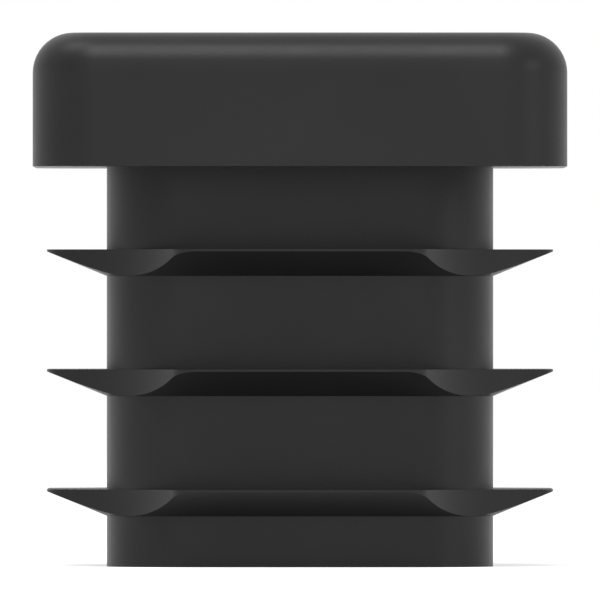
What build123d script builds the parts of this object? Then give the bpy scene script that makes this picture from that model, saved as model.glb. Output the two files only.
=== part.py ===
from build123d import *
import math
import os

# Square tube end cap: one moulding with a closing head, a hollow core that is pushed into the
# tube, and a stack of thin lamellae that bend against the tube's inner wall and hold the cap.
# All sizes are in millimetres. The origin is the middle of the core's open end, and +Z runs
# through the core to the head.

# Head: covers the end of the tube and is as wide as the tube's outside
head_width = 20.0
head_height = 5.0
head_edge_radius = 1.5              # rounding round the top face
head_face_corner_radius = 1.0       # what is left of the corner rounding on the flat top face

# Core: the square sleeve that goes into the tube
core_width = 14.5
core_length = 15.0
core_corner_radius = 3.0
core_wall = 1.5

# Hollow: open at the core's end, closed by the head
head_roof = 3.0                     # plastic left between the hollow and the top face
hollow_ceiling_radius = 0.5         # rounding between the hollow's walls and its ceiling
hollow_least_corner_radius = 1.0    # the hollow's upright corners are never sharper than this

# Lamellae: flat on top, with an underside that rises from the root to a feather edge
lamella_count = 3
lamella_reach = 2.25                # how far they stand out from the core
lamella_root_height = 1.0
lamella_tip_height = 0.08
lamella_top_gap = 3.1               # from the head's underside to the first flat top
lamella_end_gap = 1.9               # from the core's open end to the last root
relief_radius = 7.0                 # round bite that frees each corner of a lamella
relief_land = 0.03                  # what the bite leaves standing at the core's rounded corner
lamella_corner_radius = 1.0         # rounding where a bite meets the straight outer edge

# Sizes that follow from those above
head_corner_radius = head_edge_radius + head_face_corner_radius
hollow_width = core_width - 2 * core_wall
hollow_depth = core_length + head_height - head_roof
hollow_corner_radius = max(core_corner_radius - core_wall, hollow_least_corner_radius)
lamella_width = core_width + 2 * lamella_reach
lamella_rise = lamella_root_height - lamella_tip_height
lamella_span = core_length - lamella_top_gap - lamella_root_height - lamella_end_gap
lamella_pitch = lamella_span / max(lamella_count - 1, 1)
lamella_heights = [lamella_end_gap + level * lamella_pitch for level in range(lamella_count)]

# The bite's centre lies on the corner's diagonal, so that its arc just clears the core's corner
core_corner_centre = core_width / 2 - core_corner_radius
core_corner_reach = math.hypot(core_corner_centre, core_corner_centre) + core_corner_radius
relief_centre = (core_corner_reach + relief_land + relief_radius) * math.sin(math.radians(45))

os.makedirs("parts", exist_ok=True)


# One lamella, with its root at Z = 0. It is a whole plate: its middle merges with the core.
with BuildPart() as lamella:
    # dish: the underside slopes up and out from the core's outline all round
    with BuildSketch():
        RectangleRounded(core_width, core_width, core_corner_radius)
    with BuildSketch(Plane.XY.offset(lamella_rise)) as tip_outline:
        RectangleRounded(lamella_width, lamella_width, core_corner_radius + lamella_reach)
    loft(ruled=True)

    # rim: the thin upright edge above the dish, which carries the flat top
    extrude(tip_outline.sketch, amount=lamella_tip_height)

    # plan shape: a square with a round bite out of each corner and softened points
    with BuildSketch() as plan:
        Rectangle(lamella_width, lamella_width)
        with GridLocations(2 * relief_centre, 2 * relief_centre, 2, 2):
            Circle(relief_radius, mode=Mode.SUBTRACT)
        fillet(plan.vertices(), radius=lamella_corner_radius)
    extrude(amount=lamella_root_height, mode=Mode.INTERSECT)


with BuildPart() as end_cap:
    # core
    with BuildSketch():
        RectangleRounded(core_width, core_width, core_corner_radius)
    extrude(amount=core_length)

    # lamellae, evenly spaced along the core
    with Locations(*[(0, 0, height) for height in lamella_heights]):
        add(lamella.part)

    # head, with its top edge rounded all the way round
    with BuildSketch(Plane.XY.offset(core_length)):
        RectangleRounded(head_width, head_width, head_corner_radius)
    extrude(amount=head_height)
    fillet(end_cap.faces().sort_by(Axis.Z)[-1].edges(), radius=head_edge_radius)

    # hollow, cut last so that it also clears the lamellae's middles
    with BuildSketch():
        RectangleRounded(hollow_width, hollow_width, hollow_corner_radius)
    extrude(amount=hollow_depth, mode=Mode.SUBTRACT)
    ceiling = end_cap.faces().filter_by(Plane.XY).filter_by_position(Axis.Z, hollow_depth, hollow_depth)
    fillet(ceiling.edges(), radius=hollow_ceiling_radius)

end_cap.part.label = "end_cap"
export_step(end_cap.part, "parts/end_cap.step")
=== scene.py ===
import math

import bpy
from mathutils import Matrix, Vector


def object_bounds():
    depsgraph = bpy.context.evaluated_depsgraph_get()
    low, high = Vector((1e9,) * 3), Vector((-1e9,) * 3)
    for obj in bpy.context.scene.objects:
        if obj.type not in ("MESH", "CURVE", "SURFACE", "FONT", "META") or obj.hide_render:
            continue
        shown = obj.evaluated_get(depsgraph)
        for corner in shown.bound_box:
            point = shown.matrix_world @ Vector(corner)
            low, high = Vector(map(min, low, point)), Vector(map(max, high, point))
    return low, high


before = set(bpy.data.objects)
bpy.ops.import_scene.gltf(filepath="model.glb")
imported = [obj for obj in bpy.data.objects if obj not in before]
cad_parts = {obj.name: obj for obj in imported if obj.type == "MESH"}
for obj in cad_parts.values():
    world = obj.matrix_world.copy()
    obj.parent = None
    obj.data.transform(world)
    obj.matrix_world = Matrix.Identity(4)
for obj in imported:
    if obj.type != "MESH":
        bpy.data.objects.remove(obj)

MM = 0.001
cad_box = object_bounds()
low, high = cad_box

# ---------------------------------------------------------------- camera
# The photograph looks straight at one side of the cap with almost no perspective, so the camera
# stands far off with a long lens.
VIEW_WIDTH = 22.5 * MM          # what the picture's width spans ...
VIEW_PLANE = 5.0 * MM           # ... this far in front of the cap's axis
SENSOR = 36.0
LENS = 1640.0
NEAREST, FARTHEST = 0.1, 10.0   # the depth that the camera sees

# ---------------------------------------------------------------- light
WHITE = 1.0                     # the background, as the camera and reflections see it
FILL = 0.5                      # the background's own light on the cap and the floor
FLOOR_COLOUR = 0.8
FLOOR_GAP = 0.005 * MM          # keeps the floor just clear of the cap's rim
FLOOR_REACH = 3.0
LAMP_DISTANCE = 0.5

# Each lamp's name, azimuth from the front (positive to the right), elevation, the angles that its
# width and height span, and its radiance. Angles are in degrees. The lamps stand where the
# photograph's highlights put them, but the right one a few degrees further round, so that the
# cap's top face doesn't mirror it in the view from behind.
LAMPS = [
    ("overhead", -10.0, 66.0, 26.0, 36.0, 6.7),
    ("left", -95.0, 64.0, 26.0, 26.0, 3.4),
    ("front", 0.0, 18.0, 50.0, 34.0, 0.79),
    ("right", 58.0, 17.0, 10.0, 22.0, 6.6),
]

# ---------------------------------------------------------------- shading of the cap's curves
WELD_REACH = 1e-7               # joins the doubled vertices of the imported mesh
SHARP_ANGLE = 30.0              # edges that turn by more stay sharp

# ---------------------------------------------------------------- black moulded plastic
PLASTIC_DARK = (0.0088, 0.0088, 0.0090, 1.0)
PLASTIC_LIGHT = (0.0114, 0.0114, 0.0116, 1.0)
PLASTIC_ROUGHNESS = (0.385, 0.415)
PLASTIC_SPECULAR = 0.22
SHADE_NOISE = 260.0, 3.0        # scale and detail of the soft uneven shade, about 4 mm
SHEEN_NOISE = 900.0, 4.0        # of the uneven gloss, about 1 mm
GRAIN_NOISE = 9000.0, 2.0       # of the moulded grain, about 0.1 mm
NOISE_RANGE = 0.3, 0.7          # where nearly all values of a noise lie
GRAIN_HEIGHT = 0.004 * MM


def node(tree, kind, inputs=(), **settings):
    """A shader node with some of its inputs and settings filled in."""
    made = tree.nodes.new(kind)
    for name, value in settings.items():
        setattr(made, name, value)
    for name, value in dict(inputs).items():
        made.inputs[name].default_value = value
    return made


def towards(azimuth, elevation):
    """The direction from the cap that an azimuth and elevation give, in degrees."""
    around, up = math.radians(azimuth), math.radians(elevation)
    return Vector((math.sin(around) * math.cos(up), -math.cos(around) * math.cos(up), math.sin(up)))


def seen_directly(tree):
    """1 for rays from the camera and for reflected and refracted rays, otherwise 0."""
    path = node(tree, "ShaderNodeLightPath")
    either = node(tree, "ShaderNodeMath", operation="MAXIMUM")
    any_of = node(tree, "ShaderNodeMath", operation="MAXIMUM")
    tree.links.new(path.outputs["Is Camera Ray"], either.inputs[0])
    tree.links.new(path.outputs["Is Glossy Ray"], either.inputs[1])
    tree.links.new(either.outputs["Value"], any_of.inputs[0])
    tree.links.new(path.outputs["Is Transmission Ray"], any_of.inputs[1])
    return any_of.outputs["Value"]


def noise(tree, place, scale, detail):
    """A noise that stays where it is on the cap."""
    made = node(tree, "ShaderNodeTexNoise", {"Scale": scale, "Detail": detail})
    tree.links.new(place, made.inputs["Vector"])
    return made.outputs["Fac"]


def plastic():
    """Black moulded plastic with a satin gloss and a fine grain."""
    material = bpy.data.materials.new("black_plastic")
    material.use_nodes = True
    tree = material.node_tree
    shader = tree.nodes["Principled BSDF"]
    shader.inputs["Specular IOR Level"].default_value = PLASTIC_SPECULAR
    place = node(tree, "ShaderNodeTexCoord").outputs["Object"]

    tones = node(tree, "ShaderNodeValToRGB")
    for stop, position, colour in zip(
            tones.color_ramp.elements, NOISE_RANGE, (PLASTIC_DARK, PLASTIC_LIGHT)):
        stop.position = position
        stop.color = colour
    tree.links.new(noise(tree, place, *SHADE_NOISE), tones.inputs["Fac"])
    tree.links.new(tones.outputs["Color"], shader.inputs["Base Color"])

    gloss = node(tree, "ShaderNodeMapRange", {
        "From Min": NOISE_RANGE[0], "From Max": NOISE_RANGE[1],
        "To Min": PLASTIC_ROUGHNESS[0], "To Max": PLASTIC_ROUGHNESS[1]})
    tree.links.new(noise(tree, place, *SHEEN_NOISE), gloss.inputs["Value"])
    tree.links.new(gloss.outputs["Result"], shader.inputs["Roughness"])

    bump = node(tree, "ShaderNodeBump", {"Strength": 1.0, "Distance": GRAIN_HEIGHT})
    tree.links.new(noise(tree, place, *GRAIN_NOISE), bump.inputs["Height"])
    tree.links.new(bump.outputs["Normal"], shader.inputs["Normal"])
    return material


def sharp_edges():
    """A node group that shades all faces smooth up to the edges that turn sharply."""
    tree = bpy.data.node_groups.new("sharp_edges", "GeometryNodeTree")
    for way in ("INPUT", "OUTPUT"):
        tree.interface.new_socket("Geometry", in_out=way, socket_type="NodeSocketGeometry")
    angle = node(tree, "GeometryNodeInputMeshEdgeAngle").outputs["Unsigned Angle"]
    below = node(tree, "FunctionNodeCompare", {1: math.radians(SHARP_ANGLE)}, operation="LESS_THAN")
    edges = node(tree, "GeometryNodeSetShadeSmooth", domain="EDGE")
    faces = node(tree, "GeometryNodeSetShadeSmooth", {"Shade Smooth": True}, domain="FACE")
    plain = node(tree, "GeometryNodeRemoveAttribute", {"Name": "custom_normal"})
    tree.links.new(angle, below.inputs[0])
    tree.links.new(below.outputs["Result"], edges.inputs["Shade Smooth"])
    line = [node(tree, "NodeGroupInput"), edges, faces, plain, node(tree, "NodeGroupOutput")]
    for first, second in zip(line, line[1:]):
        tree.links.new(first.outputs["Geometry"], second.inputs["Geometry"])
    return tree


def smooth_curves(piece):
    """Lets light run evenly round the fillets, with every vertex where the CAD has it."""
    weld = piece.modifiers.new("weld", "WELD")
    weld.merge_threshold = WELD_REACH
    sharp = piece.modifiers.new("sharp_edges", "NODES")
    sharp.node_group = sharp_edges()
    normals = piece.modifiers.new("normals", "WEIGHTED_NORMAL")
    normals.mode = "FACE_AREA_WITH_ANGLE"
    normals.keep_sharp = True


def make_camera():
    """A camera level with the cap's middle that looks straight at its front."""
    data = bpy.data.cameras.new("camera")
    data.sensor_width = SENSOR
    data.lens = LENS
    data.clip_start = NEAREST
    data.clip_end = FARTHEST
    camera = bpy.data.objects.new("camera", data)
    distance = VIEW_PLANE + VIEW_WIDTH / SENSOR * LENS
    camera.location = (0.0, -distance, (low.z + high.z) / 2)
    camera.rotation_euler = (math.radians(90), 0.0, 0.0)
    bpy.context.scene.collection.objects.link(camera)
    bpy.context.scene.camera = camera


def make_world():
    """A white surrounding that lights the cap more gently than it looks."""
    world = bpy.data.worlds.new("studio")
    world.use_nodes = True
    world.cycles.sampling_method = "NONE"
    tree = world.node_tree
    background = tree.nodes["Background"]
    background.inputs["Color"].default_value = (1.0, 1.0, 1.0, 1.0)
    level = node(tree, "ShaderNodeMapRange", {"To Min": FILL, "To Max": WHITE})
    tree.links.new(seen_directly(tree), level.inputs["Value"])
    tree.links.new(level.outputs["Result"], background.inputs["Strength"])
    bpy.context.scene.world = world


def make_floor():
    """A pale floor that shows white where it is open and keeps the cap's soft shadow."""
    height = low.z - FLOOR_GAP
    square = [(-1, -1), (1, -1), (1, 1), (-1, 1)]
    corners = [(x * FLOOR_REACH, y * FLOOR_REACH, height) for x, y in square]
    mesh = bpy.data.meshes.new("floor")
    mesh.from_pydata(corners, [], [(0, 1, 2, 3)])
    material = bpy.data.materials.new("floor")
    material.use_nodes = True
    material.cycles.emission_sampling = "NONE"
    tree = material.node_tree
    tree.nodes.remove(tree.nodes["Principled BSDF"])
    paint = node(tree, "ShaderNodeBsdfDiffuse", {"Color": (FLOOR_COLOUR,) * 3 + (1.0,)})
    glow = node(tree, "ShaderNodeEmission")
    level = node(tree, "ShaderNodeMapRange", {"To Min": 0.0, "To Max": WHITE - FLOOR_COLOUR * FILL})
    both = node(tree, "ShaderNodeAddShader")
    tree.links.new(seen_directly(tree), level.inputs["Value"])
    tree.links.new(level.outputs["Result"], glow.inputs["Strength"])
    tree.links.new(paint.outputs["BSDF"], both.inputs[0])
    tree.links.new(glow.outputs["Emission"], both.inputs[1])
    tree.links.new(both.outputs["Shader"], tree.nodes["Material Output"].inputs["Surface"])
    mesh.materials.append(material)
    floor = bpy.data.objects.new("floor", mesh)
    bpy.context.scene.collection.objects.link(floor)


def make_lamp(name, azimuth, elevation, width, height, radiance):
    """A soft oval lamp that faces the cap and looks as bright from it as radiance says."""
    data = bpy.data.lights.new(name, "AREA")
    data.shape = "ELLIPSE"
    data.size = 2 * LAMP_DISTANCE * math.tan(math.radians(width / 2))
    data.size_y = 2 * LAMP_DISTANCE * math.tan(math.radians(height / 2))
    area = math.pi / 4 * data.size * data.size_y
    data.energy = math.pi * area * radiance
    lamp = bpy.data.objects.new(name, data)
    back = towards(azimuth, elevation)
    side = (Vector((1, 0, 0)) - back * back.x).normalized()
    turn = Matrix((side, back.cross(side), back)).transposed()
    place = Vector((0, 0, (low.z + high.z) / 2)) + back * LAMP_DISTANCE
    lamp.matrix_world = Matrix.Translation(place) @ turn.to_4x4()
    lamp.visible_camera = False
    bpy.context.scene.collection.objects.link(lamp)


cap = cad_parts["end_cap"]
cap.data.materials.clear()
cap.data.materials.append(plastic())
smooth_curves(cap)

make_camera()
make_world()
make_floor()
for lamp in LAMPS:
    make_lamp(*lamp)
bpy.context.scene.view_settings.view_transform = "Standard"
